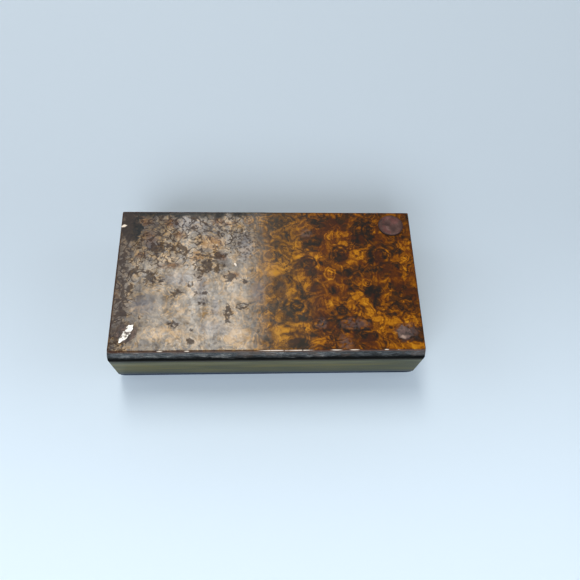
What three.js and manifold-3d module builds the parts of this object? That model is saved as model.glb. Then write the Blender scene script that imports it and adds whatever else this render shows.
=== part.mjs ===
// A cake of bow rosin in its lidded wooden case: a shallow mitred box on four round feet, a bevelled
// lift-off lid with a figured face, and a cast cake that lies in a felt-covered well.
// Millimetres, +Z up. The origin is the centre of the footprint, on the surface the case stands on,
// with X along the long side and -Y towards the front.

import * as THREE from "three";
import { ConvexGeometry } from "three/addons/geometries/ConvexGeometry.js";
import { mergeVertices } from "three/addons/utils/BufferGeometryUtils.js";
import Module from "manifold-3d";

const wasm = await Module();
wasm.setup();

// ---------------------------------------------------------------- driving dimensions

const CASE_LENGTH = 114.6; // outside of the walls, along X
const CASE_DEPTH = 59.6; // outside of the walls, along Y
const TOTAL_HEIGHT = 27; // surface to lid face
const LID_HEIGHT = 6.8;
const WALL = 4; // thickness of the case walls
const CORNER_RADIUS = 0.5; // vertical corners of the case and the lid
const GLUE = 0.02; // a glue line
const MITRE_GAP = 0.05; // how far each side of a mitred frame stops short of its mitre

const FOOT_RADIUS = 5;
const FOOT_HEIGHT = 1.2;
const PAD_RADIUS = 4.9;
const PAD_X = 48.4; // the feet and the lid's pad share these centres
const PAD_Y = 22.4;

const BOARD_THICKNESS = 2.6;
const BOARD_INSET = 0.25;
const BOARD_RADIUS = 0.8; // its vertical corners
const LINING = 0.8; // thickness of the felt

const LIP_THICKNESS = 2.2;
const LIP_DROP = 3.1; // how far the lid's lip reaches into the case
const LIP_CLEARANCE = 0.5;
const SEAM = 0.3; // shadow gap between lid and case

const CAKE_LENGTH = 83;
const CAKE_DEPTH = 35;
const CAKE_HEIGHT = 10.3;
const CAKE_DRAFT = 1.2; // how far its sides lean in over the height
const CAKE_RADIUS = 3.5;
const BACKING_MARGIN = 0.5;
const BACKING_THICKNESS = 1.6;
const WELL_CLEARANCE = 0.1;
const BLOCK_HEIGHT = 8;
const FINGER_GAP = 21; // space between the blocks at the middle of each long side

// ---------------------------------------------------------------- dimensions that follow

const halfX = CASE_LENGTH / 2;
const halfY = CASE_DEPTH / 2;
const lidBottom = TOTAL_HEIGHT - LID_HEIGHT;
const wallTop = lidBottom - SEAM;
const boardTop = FOOT_HEIGHT + BOARD_THICKNESS;
const floorTop = boardTop + LINING;
const openX = halfX - WALL;
const openY = halfY - WALL;
const linedX = openX - LINING;
const linedY = openY - LINING;
const lipX = openX - LIP_CLEARANCE;
const lipY = openY - LIP_CLEARANCE;
const lipBottom = lidBottom - LIP_DROP;
const wellX = CAKE_LENGTH / 2 + BACKING_MARGIN + WELL_CLEARANCE;
const wellY = CAKE_DEPTH / 2 + BACKING_MARGIN + WELL_CLEARANCE;

// ---------------------------------------------------------------- materials

const finish = (color, roughness, metalness = 0) =>
  new THREE.MeshStandardMaterial({ color, roughness, metalness });

const MATERIALS = {
  burl: finish(0x7a4510, 0.15),
  blackLacquer: finish(0x24221f, 0.35),
  caseWood: finish(0x78754f, 0.4),
  darkBoard: finish(0x2e2c29, 0.6),
  plainWood: finish(0xa9885a, 0.7),
  felt: finish(0x1f4030, 0.95),
  rosin: finish(0x8a3c08, 0.12),
  cork: finish(0xa87a4c, 0.9),
  leather: finish(0x5d4039, 0.8),
  brass: finish(0xb08d45, 0.35, 1),
};

// ---------------------------------------------------------------- shapes

const ARC_STEPS = 4; // per eighth of a turn on a rounded corner
const ROUND_STEPS = 40; // round a disc
const PIN_STEPS = 10; // round a pin

// Points of a rectangle with rounded corners, at height z.
function roundedRing(x, y, radius, z) {
  const points = [];
  for (const [sx, sy] of [[1, 1], [-1, 1], [-1, -1], [1, -1]])
    for (let i = 0; i <= 2 * ARC_STEPS; i++) {
      const angle = (Math.PI / 4) * (i / ARC_STEPS);
      const dx = radius * Math.cos(angle);
      const dy = radius * Math.sin(angle);
      points.push(new THREE.Vector3(sx * (x - radius + dx), sy * (y - radius + dy), z));
    }
  return points;
}

// A slab with rounded corners whose outline is pulled in by inset at each height of its profile.
function roundedSlab(x, y, radius, profile) {
  const smallest = 0.2;
  const corner = (inset) => Math.max(radius - inset / 2, smallest);
  return new ConvexGeometry(
    profile.flatMap(([inset, z]) => roundedRing(x - inset, y - inset, corner(inset), z)),
  );
}

// One side of a mitred frame with rounded corners, along X at the front. Its cross-section is the
// convex outline through profile, a list of [inset from the frame's outline, height].
function mitredSide(x, y, radius, profile) {
  const points = [];
  for (const [inset, z] of profile) {
    const r = Math.max(radius - inset, 0);
    const steps = r > 0 ? ARC_STEPS : 0;
    for (const end of [-1, 1])
      for (let i = 0; i <= steps; i++) {
        const angle = steps ? (Math.PI / 4) * (i / steps) : 0;
        const along = x - inset - r + r * Math.sin(angle) - MITRE_GAP;
        const out = y - inset - r + r * Math.cos(angle);
        points.push(new THREE.Vector3(end * along, -out, z));
      }
  }
  return new ConvexGeometry(points);
}

// The four sides of a mitred frame, by name.
function mitredFrame(x, y, radius, profile) {
  const long = mitredSide(x, y, radius, profile);
  const short = mitredSide(y, x, radius, profile);
  return {
    front: long,
    right: short.clone().rotateZ(Math.PI / 2),
    back: long.clone().rotateZ(Math.PI),
    left: short.clone().rotateZ(-Math.PI / 2),
  };
}

// A rectangular block from its two corners, with its upper edges eased by ease.
function block([x0, y0, z0], [x1, y1, z1], ease = 0) {
  const corners = (e, z) =>
    [[x0 + e, y0 + e], [x1 - e, y0 + e], [x1 - e, y1 - e], [x0 + e, y1 - e]].map(
      ([x, y]) => new THREE.Vector3(x, y, z),
    );
  const upper = ease ? [...corners(0, z1 - ease), ...corners(ease, z1)] : corners(0, z1);
  return new ConvexGeometry([...corners(0, z0), ...upper]);
}

// A round disc that stands on z, with its upper edge eased.
function disc(radius, height, z) {
  const ease = 0.2;
  const profile = [[0, 0], [radius, 0], [radius, height - ease], [radius - ease, height], [0, height]];
  return new THREE.LatheGeometry(profile.map(([r, h]) => new THREE.Vector2(r, h)), ROUND_STEPS)
    .rotateX(Math.PI / 2)
    .translate(0, 0, z);
}

// A pin driven up from the underside of the board, all its radii larger by extra.
function pin(extra = 0) {
  const head = { radius: 0.9, height: 0.5 };
  const shank = { radius: 0.5, end: 7.2, tip: 0.8 };
  const foot = extra ? -1 : 0;
  const profile = [
    [0, foot],
    [head.radius + extra, foot],
    [head.radius + extra, head.height + extra],
    [shank.radius + extra, head.height + extra],
    [shank.radius + extra, shank.end - shank.tip + extra],
    [0, shank.end + 2 * extra],
  ];
  return new THREE.LatheGeometry(profile.map(([r, h]) => new THREE.Vector2(r, h)), PIN_STEPS)
    .rotateX(Math.PI / 2)
    .translate(0, 0, FOOT_HEIGHT);
}

// ---------------------------------------------------------------- cutting

function toSolid(geometry) {
  const bare = geometry.clone().deleteAttribute("normal").deleteAttribute("uv");
  const merged = mergeVertices(bare, 1e-4);
  return new wasm.Manifold(
    new wasm.Mesh({
      numProp: 3,
      vertProperties: merged.attributes.position.array,
      triVerts: new Uint32Array(merged.index.array),
    }),
  );
}

function cut(geometry, cutters) {
  const left = cutters.reduce((solid, cutter) => solid.subtract(toSolid(cutter)), toSolid(geometry));
  const mesh = left.getMesh();
  const made = new THREE.BufferGeometry();
  made.setAttribute("position", new THREE.BufferAttribute(mesh.vertProperties, 3));
  made.setIndex(new THREE.BufferAttribute(mesh.triVerts, 1));
  made.computeVertexNormals();
  return made;
}

// ---------------------------------------------------------------- assembly

const object = new THREE.Group();

function add(parent, name, geometry, material) {
  const mesh = new THREE.Mesh(geometry, material);
  mesh.name = name;
  parent.add(mesh);
}

function addFrame(parent, names, sides, material) {
  for (const [side, geometry] of Object.entries(sides)) add(parent, names(side), geometry, material);
}

const CORNERS = [
  ["front_left", -1, -1],
  ["front_right", 1, -1],
  ["back_left", -1, 1],
  ["back_right", 1, 1],
];

// ---- the case: walls, board, pins and feet

function makeCase() {
  const body = new THREE.Group();
  const ease = 0.6;
  const wallProfile = [
    [0, boardTop + GLUE],
    [0, wallTop - ease],
    [ease * 0.3, wallTop - ease * 0.3],
    [ease, wallTop],
    [WALL, wallTop],
    [WALL, boardTop + GLUE],
  ];
  const pinLine = 0.6 * WALL; // the pins go up into the walls, this far in from the outside
  const pinPitch = 40;
  const pinPlaces = [
    ...[-1, 1].flatMap((side) => [-1, 0, 1].map((i) => [i * pinPitch, side * (halfY - pinLine)])),
    [-(halfX - pinLine), 0],
    [halfX - pinLine, 0],
  ];
  const holes = pinPlaces.map(([x, y]) => pin(0.04).translate(x, y, 0));

  const walls = mitredFrame(halfX, halfY, CORNER_RADIUS, wallProfile);
  for (const side of Object.keys(walls)) walls[side] = cut(walls[side], holes);
  addFrame(body, (side) => `case_${side}_wall`, walls, MATERIALS.caseWood);

  const boardEase = 0.4;
  const board = roundedSlab(halfX - BOARD_INSET, halfY - BOARD_INSET, BOARD_RADIUS, [
    [boardEase, FOOT_HEIGHT],
    [0, FOOT_HEIGHT + boardEase],
    [0, boardTop],
  ]);
  add(body, "base_board", cut(board, holes), MATERIALS.darkBoard);
  pinPlaces.forEach(([x, y], i) =>
    add(body, `base_pin_${i + 1}`, pin().translate(x, y, 0), MATERIALS.brass),
  );

  const footTop = FOOT_HEIGHT - GLUE;
  for (const [corner, sx, sy] of CORNERS) {
    const foot = disc(FOOT_RADIUS, footTop, 0).rotateX(Math.PI).translate(sx * PAD_X, sy * PAD_Y, footTop);
    add(body, `foot_${corner}`, foot, MATERIALS.leather);
  }
  return body;
}

// ---- the inside of the case: felt linings and the blocks that make the cake's well

function makeWell() {
  const inside = new THREE.Group();
  const liningTop = lipBottom - SEAM;
  const liningX = openX - GLUE;
  const liningY = openY - GLUE;
  const floor = block(
    [-liningX, -liningY, boardTop + GLUE],
    [liningX, liningY, floorTop],
  );
  add(inside, "floor_lining", floor, MATERIALS.felt);

  const liningProfile = [
    [0, floorTop + GLUE],
    [0, liningTop],
    [LINING, liningTop],
    [LINING, floorTop + GLUE],
  ];
  const linings = mitredFrame(liningX, liningY, 0, liningProfile);
  addFrame(inside, (side) => `wall_lining_${side}`, linings, MATERIALS.felt);

  const blockBottom = floorTop + GLUE;
  const blockTop = floorTop + BLOCK_HEIGHT;
  const ease = 0.8;
  const outerX = linedX - 2 * GLUE;
  const outerY = linedY - 2 * GLUE;
  for (const [side, sign] of [["left", -1], ["right", 1]]) {
    const [x0, x1] = [sign * wellX, sign * outerX].sort((a, b) => a - b);
    const end = block([x0, -outerY, blockBottom], [x1, outerY, blockTop], ease);
    add(inside, `well_block_${side}`, end, MATERIALS.felt);
  }
  for (const [corner, sx, sy] of CORNERS) {
    const [x0, x1] = [sx * (FINGER_GAP / 2), sx * (wellX - GLUE)].sort((a, b) => a - b);
    const [y0, y1] = [sy * wellY, sy * outerY].sort((a, b) => a - b);
    const side = block([x0, y0, blockBottom], [x1, y1, blockTop], ease);
    add(inside, `well_block_${corner}`, side, MATERIALS.felt);
  }
  return inside;
}

// ---- the cake on its cork backing

function makeCake() {
  const cake = new THREE.Group();
  const backingBottom = floorTop + 2 * GLUE;
  const backingTop = backingBottom + BACKING_THICKNESS;
  const backing = roundedSlab(
    CAKE_LENGTH / 2 + BACKING_MARGIN,
    CAKE_DEPTH / 2 + BACKING_MARGIN,
    CAKE_RADIUS + BACKING_MARGIN,
    [[0, backingBottom], [0, backingTop]],
  );
  add(cake, "cake_backing", backing, MATERIALS.cork);

  const bottom = backingTop + GLUE;
  const top = bottom + CAKE_HEIGHT;
  const edge = 0.9;
  const rosin = roundedSlab(CAKE_LENGTH / 2, CAKE_DEPTH / 2, CAKE_RADIUS, [
    [0, bottom],
    [CAKE_DRAFT, top - edge],
    [CAKE_DRAFT + edge * 0.3, top - edge * 0.3],
    [CAKE_DRAFT + edge, top],
  ]);
  add(cake, "rosin_cake", rosin, MATERIALS.rosin);
  return cake;
}

// ---- the lid: figured face, core board, bevelled edges, locating lip, lining and corner pad

function makeLid() {
  const lid = new THREE.Group();
  const faceThickness = 0.9;
  const coreThickness = 2.75;
  const topInset = 1.3; // the lid face stands in from the case's outline all round
  const faceBottom = TOTAL_HEIGHT - faceThickness;
  const arris = 0.1; // the face's sharp upper edge
  const edgeFoot = 0.4; // the mouldings' lower edge is eased over this height
  const bevel = (z) => (topInset - arris) * ((z - lidBottom - edgeFoot) / (LID_HEIGHT - edgeFoot));

  const face = roundedSlab(halfX, halfY, CORNER_RADIUS, [
    [bevel(faceBottom), faceBottom],
    [topInset - arris, TOTAL_HEIGHT - arris],
    [topInset, TOTAL_HEIGHT],
  ]);
  add(lid, "lid_face", face, MATERIALS.burl);

  const edgeTop = faceBottom - GLUE;
  const edgeWidth = halfX - lipX;
  const edgeProfile = [
    [0.15, lidBottom],
    [0, lidBottom + edgeFoot],
    [bevel(edgeTop), edgeTop],
    [edgeWidth, edgeTop],
    [edgeWidth, lidBottom],
  ];
  const edges = mitredFrame(halfX, halfY, CORNER_RADIUS, edgeProfile);
  addFrame(lid, (side) => `lid_edge_${side}`, edges, MATERIALS.blackLacquer);

  const coreX = lipX - GLUE;
  const coreY = lipY - GLUE;
  const coreBottom = edgeTop - coreThickness;
  const core = block([-coreX, -coreY, coreBottom], [coreX, coreY, edgeTop]);
  add(lid, "lid_core", core, MATERIALS.plainWood);

  const lipTop = coreBottom - GLUE;
  const lipProfile = [
    [0.3, lipBottom],
    [0, lipBottom + 0.5],
    [0, lipTop],
    [LIP_THICKNESS, lipTop],
    [LIP_THICKNESS, lipBottom],
  ];
  const lips = mitredFrame(coreX, coreY, 0, lipProfile);
  addFrame(lid, (side) => `lid_lip_${side}`, lips, MATERIALS.plainWood);

  const liningX = coreX - LIP_THICKNESS - GLUE;
  const liningY = coreY - LIP_THICKNESS - GLUE;
  const lining = block([-liningX, -liningY, lipTop - LINING], [liningX, liningY, lipTop]);
  add(lid, "lid_lining", lining, MATERIALS.felt);

  const pad = disc(PAD_RADIUS, FOOT_HEIGHT, TOTAL_HEIGHT + GLUE).translate(PAD_X, PAD_Y, 0);
  add(lid, "corner_pad", pad, MATERIALS.leather);
  return lid;
}

object.add(makeCase(), makeWell(), makeCake(), makeLid());

export default object;
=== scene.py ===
import math

import bmesh
import bpy
from mathutils import Matrix, Vector, noise


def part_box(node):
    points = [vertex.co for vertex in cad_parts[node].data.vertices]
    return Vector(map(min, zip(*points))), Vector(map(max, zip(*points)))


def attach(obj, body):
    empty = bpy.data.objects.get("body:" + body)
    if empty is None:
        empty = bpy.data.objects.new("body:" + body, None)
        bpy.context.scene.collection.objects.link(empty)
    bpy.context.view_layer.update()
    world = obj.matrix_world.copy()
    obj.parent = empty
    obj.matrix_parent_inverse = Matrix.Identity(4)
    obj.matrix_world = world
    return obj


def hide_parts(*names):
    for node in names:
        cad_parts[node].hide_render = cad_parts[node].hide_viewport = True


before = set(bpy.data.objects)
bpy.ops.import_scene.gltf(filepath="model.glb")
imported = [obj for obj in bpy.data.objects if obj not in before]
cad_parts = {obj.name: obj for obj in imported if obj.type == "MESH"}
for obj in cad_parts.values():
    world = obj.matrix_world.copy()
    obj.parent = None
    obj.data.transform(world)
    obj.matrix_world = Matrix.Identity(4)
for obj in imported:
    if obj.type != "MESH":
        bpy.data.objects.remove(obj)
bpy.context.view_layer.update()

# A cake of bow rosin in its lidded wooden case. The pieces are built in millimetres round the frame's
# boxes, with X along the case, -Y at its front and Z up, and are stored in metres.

MM = 0.001
SIDES = ("front", "right", "back", "left")
CORNERS = ("front_left", "front_right", "back_left", "back_right")


def box(node):
    """The lowest and highest corner of a CAD node, in millimetres."""
    low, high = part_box(node)
    return low / MM, high / MM


def span(node):
    """The lowest corner, highest corner, centre and half size of a CAD node, in millimetres."""
    low, high = box(node)
    return low, high, (low + high) / 2, (high - low) / 2


def frame_of(sides):
    """Half the length and half the depth of a frame of four sides, its foot, top and thickness."""
    low, high = box(sides.format("right"))
    return high.x, box(sides.format("back"))[1].y, low.z, high.z, high.x - low.x


CASE_X, CASE_Y, WALL_FOOT, WALL_TOP, WALL = frame_of("case_{}_wall")
FACE_FOOT, FACE_TOP = (corner.z for corner in box("lid_face"))
LID_FOOT, LID_TOP, LID_EDGE = frame_of("lid_edge_{}")[2:]
FACE_INSET = 1.3  # the face stands in this far from the case's outline
FACE_X, FACE_Y = CASE_X - FACE_INSET, CASE_Y - FACE_INSET
CORNER = 0.5  # the radius of the case's and the lid's vertical corners
BOARD_CORNER = 0.8  # the same for the base board
FACE_CORNER = 0.2  # and for the lid's face
PAD = span("corner_pad")[2]
MITRE = 0.05  # each side of a frame stops this far short of its mitre
SEAM_SHADE_HEIGHT = 1.5  # about this high over their foot, the lid mouldings' painted seam shade, near-black, fades out raggedly
RUB_FOOT = box("rosin_cake")[1].z - 1.6  # the bow's dust is found above this height


# ======== shading


def srgb(red, green, blue):
    """A colour given as it looks on a screen, 0 to 255, as the linear colour that a shader takes."""
    return tuple(
        (c / 255 / 12.92) if c / 255 <= 0.04045 else ((c / 255 + 0.055) / 1.055) ** 2.4
        for c in (red, green, blue)
    ) + (1.0,)


class Value:
    """What a shader node gives. Numbers can be added, subtracted and multiplied as in plain Python."""

    def __init__(self, look, socket):
        self.look, self.socket = look, socket

    def __add__(self, other):
        return self.look.math("ADD", self, other)

    def __sub__(self, other):
        return self.look.math("SUBTRACT", self, other)

    def __rsub__(self, other):
        return self.look.math("SUBTRACT", other, self)

    def __mul__(self, other):
        return self.look.math("MULTIPLY", self, other)

    def __abs__(self):
        return self.look.math("ABSOLUTE", self)

    __radd__, __rmul__ = __add__, __mul__


class Nodes:
    """The shader nodes of a material or a world."""

    def __init__(self, owner, shader, output):
        owner.use_nodes = True
        self.owner, self.tree = owner, owner.node_tree
        self.tree.nodes.clear()
        self.surface = self.tree.nodes.new("ShaderNode" + shader)
        out = self.tree.nodes.new("ShaderNode" + output)
        self.tree.links.new(self.surface.outputs[0], out.inputs[0])

    def feed(self, socket, value):
        if isinstance(value, Value):
            self.tree.links.new(value.socket, socket)
        else:
            socket.default_value = value

    def node(self, kind, output=0, options=None, sockets=(), **inputs):
        """A new node's output. Its inputs are given by number in sockets, and the others by name."""
        made = self.tree.nodes.new("ShaderNode" + kind)
        for key, value in (options or {}).items():
            setattr(made, key, value)
        for index, value in sockets:
            self.feed(made.inputs[index], value)
        for key, value in inputs.items():
            self.feed(made.inputs[key.replace("_", " ")], value)
        return Value(self, made.outputs[output])

    def set(self, **inputs):
        for key, value in inputs.items():
            self.feed(self.surface.inputs[key.replace("_", " ")], value)

    def math(self, operation, a, b=0.0):
        return self.node("Math", 0, {"operation": operation}, enumerate((a, b)))

    def most(self, *values):
        first, *rest = values
        for value in rest:
            first = self.math("MAXIMUM", first, value)
        return first

    def step(self, value, low, high):
        """0 below low and 1 above high, or the other way round where low is the larger."""
        smooth = {"interpolation_type": "SMOOTHSTEP"}
        return self.node("MapRange", 0, smooth, Value=value, From_Min=low, From_Max=high)

    def band(self, value, centre, width):
        """1 where value is at centre, falling to 0 at width on either side."""
        return self.step(abs(value - centre), width, 0.0)


class Look(Nodes):
    """One procedural material. Its vectors are in millimetres in the row frame."""

    def __init__(self, name):
        super().__init__(bpy.data.materials.new(name), "BsdfPrincipled", "OutputMaterial")
        self.mm = self.scaled(self.node("TexCoord", "Object"), 1 / MM)
        self.x, self.y, self.z = (self.node("SeparateXYZ", i, Vector=self.mm) for i in range(3))

    # ---- vectors

    def vector(self, operation, a, b=(0, 0, 0)):
        output = 1 if operation == "LENGTH" else 0
        return self.node("VectorMath", output, {"operation": operation}, enumerate((a, b)))

    def scaled(self, vector, scale):
        return self.node("VectorMath", 0, {"operation": "SCALE"}, [(0, vector)], Scale=scale)

    def stretched(self, x=1.0, y=1.0, z=1.0):
        return self.vector("MULTIPLY", self.mm, (x, y, z))

    def warped(self, vector, per_mm, reach, detail=2.0):
        """vector pushed about by up to half of reach, in patches of 1 / per_mm."""
        push = self.noise(vector, per_mm, detail, output=1)
        push = self.vector("SUBTRACT", push, (0.5, 0.5, 0.5))
        return self.vector("ADD", vector, self.scaled(push, reach))

    def away(self, vector, x, y, wide, deep):
        """0 at the point (x, y) and 1 on an ellipse round it."""
        offset = self.vector("SUBTRACT", vector, (x, y, 0))
        return self.vector("LENGTH", self.vector("MULTIPLY", offset, (1 / wide, 1 / deep, 0)))

    def near(self, vector, x, y, wide, deep, core=0.0):
        """1 at the point (x, y), falling to 0 at the edge of an ellipse round it."""
        return self.step(self.away(vector, x, y, wide, deep), 1.0, core)

    def spots(self, vector, places, grow=1.0, core=0.0):
        """1 on every one of the places, each x, y, half width and half depth."""
        return self.most(*[self.near(vector, x, y, w * grow, d * grow, core) for x, y, w, d in places])

    # ---- patterns

    def noise(self, vector, per_mm, detail=2.0, rough=0.5, twist=0.0, output=0):
        shape = {"Scale": per_mm, "Detail": detail, "Roughness": rough, "Distortion": twist}
        return self.node("TexNoise", output, Vector=vector, **shape)

    def swing(self, *pattern, **options):
        """noise from -0.5 to 0.5."""
        return self.noise(*pattern, **options) - 0.5

    def cells(self, vector, per_mm, output=0):
        return self.node("TexVoronoi", output, Vector=vector, Scale=per_mm)

    def mix(self, share, a, b):
        return self.node("Mix", 2, {"data_type": "RGBA"}, [(0, share), (6, a), (7, b)])

    def ramp(self, value, *stops):
        """Colours that change with value, from stops of (value, red, green, blue)."""
        colour = self.node("ValToRGB", sockets=[(0, value)])
        elements = colour.socket.node.color_ramp.elements
        while len(elements) < len(stops):
            elements.new(0.5)
        for element, (place, *rgb) in zip(elements, stops):
            element.position = place
            element.color = srgb(*rgb)
        return colour

    def paint(self, colour, *layers):
        """colour with others laid over it, each as (where, red, green, blue, strength)."""
        for share, *rgb, strength in layers:
            colour = self.mix(share * strength, colour, srgb(*rgb))
        return colour

    def finished(self, colour, height_mm, **inputs):
        """The material, with its colour and with a bump from a height in millimetres."""
        bump = self.node("Bump", Strength=1.0, Distance=MM, Height=height_mm)
        self.set(Base_Color=colour, Normal=bump, **inputs)
        return self.owner


# What the eye finds first on the face, each as x, y, half width and half depth in millimetres: the
# figure's light, dark and grey parts, and where the lacquer has bloomed a cool grey.
BRIGHT = [
    (27, 18.5, 6.5, 2.2), (33, 9.5, 5, 4.6), (31, 14.4, 4, 1.4), (17.5, 9.5, 5, 1.8), (12, 0, 3.2, 2.4),
    (14.5, -4, 1.5, 3), (33.5, -11, 4, 6), (27, -4, 3, 1.4), (9, -6.5, 3, 2.4), (45, -8.5, 5, 2),
    (38.5, -18, 3.4, 7), (45, -19, 5, 4.6), (50, -27, 9, 1.8), (14, -19.6, 7, 2.4), (2, 3.5, 8, 3),
    (4, -22, 4, 3), (12, 13, 2, 4), (10.5, 8, 3, 2), (50, 7.6, 5, 2.2), (53, 14, 3, 3), (46, 11, 1.8, 2),
    (22, -10.4, 4, 1.4), (52, -18, 3, 3), (19, -25, 4, 2), (-21, 14.5, 5, 3.4), (-27, 9, 2.6, 2.4),
    (-7.3, 25, 2.6, 2.4), (-38, -22, 8, 4), (-11, -24, 6, 4),
]
DARK = [
    (17, 17, 5.6, 4.2), (4, 24, 3.6, 3), (36.5, 17, 4.4, 4), (22, 24.5, 7, 3), (15.3, 6.3, 2.6, 2.4),
    (28, 9.8, 2.4, 3), (8, 0.5, 2, 3), (4, -5, 2.4, 4.6), (17.5, 2, 4.4, 1.3), (31, 2.2, 5.4, 2.2),
    (38, 3.2, 4, 1.8), (46, 2, 7, 2), (39.6, -4.8, 4, 3.8), (40, -9.5, 1.8, 4), (50.6, -12.4, 5, 2.2),
    (53, -7, 3.4, 3), (24.6, -5.2, 2, 1.5), (17, -4, 2.6, 2.2), (11, -25.4, 5, 1.8), (36, -23.4, 4, 1.8),
    (42.6, 16, 3, 3), (47.5, -3.4, 3.6, 2.4), (38.6, -6, 3.4, 3), (29.6, -2, 2, 1.4),
    (52.5, -24.8, 4.4, 1.3), (28.4, -9.2, 2, 1.1), (27.4, -13.8, 2.2, 1.8), (12, -17, 4, 1.6),
    (37.5, 24, 4, 2.6), (38.6, 9, 2.2, 2.6), (31.6, -5, 2.6, 1.8), (10, -26, 3.6, 2),
    (45, -15.6, 2.4, 1.6), (-44, 22, 6, 5), (-34, 24, 5, 3), (-17, 8, 3, 5), (-19, -26, 5, 2),
    (-45, -9, 4, 2.4), (2, -12, 2, 4),
]
GREY = [
    (19, -18.5, 2.2, 2.2), (31, -18.6, 5.4, 2.2), (27.6, -26, 2.6, 3), (50, -22, 4.6, 3.6),
    (15, 19, 2.4, 2),
]
COOL = [
    (-33, -0.5, 6, 3.4), (-25, -4, 3, 6), (-44, 15, 3, 4), (-20, -20, 6, 3), (-30, 23, 7, 4),
    (-8.5, 12, 3, 7), (-4, -6, 3, 5), (-45, -11, 6, 4), (-19, -12, 1.6, 4),
]
# Where the gloss is worn through to the veneer, where it is smeared grey, and where it is stronger or
# weaker by the last number.
WORN = [
    (-45, 17.5, 3, 3.4), (-48, 24, 3.6, 2.6), (-37, 23.6, 3, 2), (-33.5, 18.4, 2.4, 2),
    (-21, 14.8, 5.6, 3.6), (-17.6, 9, 2.6, 2.4), (-27, 9, 2.4, 2.6), (-19.4, 24.6, 3, 2.6),
    (-15, 23.4, 3, 1.4), (-7.3, 25, 2.6, 2.4), (-48, 9.6, 2.4, 1.6), (-54.6, -6.4, 1.4, 3),
    (-37, 5, 5, 1.6), (-13, 1, 3, 2),
]
SMEARED = [
    (-40, -8.6, 6.5, 2.6), (-17, -20.6, 7, 2.6), (-5.4, -3.6, 3, 3), (-20, -12, 1.2, 4),
    (-46, -14.6, 3, 1.2), (-45, 19, 6, 8),
]
GLOSS = [
    (-27, -11, 3.6, 9, 0.17), (-11.5, -20.5, 3.2, 6.5, 0.25), (-8, 14, 3.6, 13, 0.17),
    (-41, -23, 6, 3, 0.17), (-43, 20, 8, 8, -0.26), (-17.5, 7.5, 3.6, 6.5, -0.26), (-45, -9, 5, 6, -0.2),
    (-20, -26, 7, 2.4, -0.16),
]
# Eyes, each a ring round a bud's mark: x, y, half width, half depth and how much lighter the ring is.
EYES = [
    (23.3, 1.6, 2.1, 2.5, 0.15), (37, -2.3, 1.3, 1.5, 0.14), (28, 10.3, 2.8, 3.2, -0.14),
    (15.4, 6.4, 2.9, 2.6, -0.15), (10.4, -11.6, 2.0, 1.8, -0.13), (10.4, -11.6, 4.4, 4.2, -0.1),
    (19, -18.5, 2.8, 2.6, -0.15), (31, -18.8, 6, 2.8, -0.13), (43.6, 10, 2.2, 2, -0.12),
    (43.6, 10, 4.4, 3.8, -0.1), (35, -23, 4, 2.2, -0.12), (27, -13.2, 1.7, 1.6, -0.13),
    (2.9, 9.8, 1.3, 1.1, -0.12), (24.6, -5, 2.2, 1.6, -0.1), (-7.3, 25, 2.5, 2.3, -0.16),
    (-20, 21, 4.4, 3.4, -0.12), (-41.5, 12, 3, 1.9, -0.12), (40, 21, 3, 3, -0.1),
]
# Where dark marks break the gloss in clusters: x, y, half width and half depth.
MARKED = [
    (-50.5, 2.6, 4.4, 2.2), (-43.4, 0, 2.8, 3), (-39.3, -0.8, 1.4, 2.2), (-28.6, -2.6, 1.2, 1.2),
    (-33.2, -6.3, 2, 1.5), (-26.6, -6.6, 0.9, 1), (-24, -6.3, 1.6, 0.9), (-24.3, -10.4, 1.4, 0.7),
    (-14.6, -14.6, 1.8, 3.5), (-10, -11.5, 2.8, 1.3), (-34, -18.4, 1.8, 1.6), (-27.6, -24.9, 1.3, 1.1),
    (-45.4, -15.6, 1.3, 1), (-25.2, 0, 1, 1.6), (-14.5, 0, 2.4, 2.4), (-24, 4, 3.4, 1.8),
    (-19, 4.2, 1.4, 2), (-53.4, -7, 1.6, 5), (-52, -13.4, 2.6, 2.4), (-9, -1.8, 1.4, 0.8),
    (-34, 12, 3, 2.6), (-42, 12, 4, 2.4), (-18.6, 9.6, 3.4, 2), (-22, 6, 3, 1.6), (-25.6, 2.6, 2, 2),
    (-27.2, -20.6, 0.8, 0.7), (-54, 6, 1.6, 6),
]
# Chips out of the face's front edge, as x and half width, and two pale flecks further in. Their pale paint is partly
# real chips and partly a painted highlight.
CHIPS = [(-38, 1.3), (-28.6, 1.2), (2, 7), (11, 6), (24, 2.6), (30.5, 2.2), (42, 1), (46.5, 0.7)]
FLECKS = [(-55, 22, 0.9, 1), (-12.4, 5.3, 0.9, 0.5)]


def eyes(look):
    """How much lighter the rings round the buds' marks are: the placed ones, and faint ones all over."""
    bent = look.warped(look.mm, 0.5, 2.4, 3.0)
    total = 0.0
    for x, y, wide, deep, lift in EYES:
        out = look.away(bent, x, y, wide, deep)
        rings = look.most(look.band(out, 1.0, 0.3), look.band(out, 0.45, 0.2) * 0.8)
        total += rings * (lift * 1.3)
    bud = look.cells(bent, 0.26)
    kind = look.node("SeparateColor", Color=look.cells(bent, 0.26, output=1))
    rings = look.math("SINE", bud * 27.0) * look.step(bud, 0.5, 0.15)
    rings = rings * 0.1 + look.step(bud, 0.16, 0.06) * -0.14
    return total + rings * look.step(kind, 0.6, 0.72)


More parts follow.
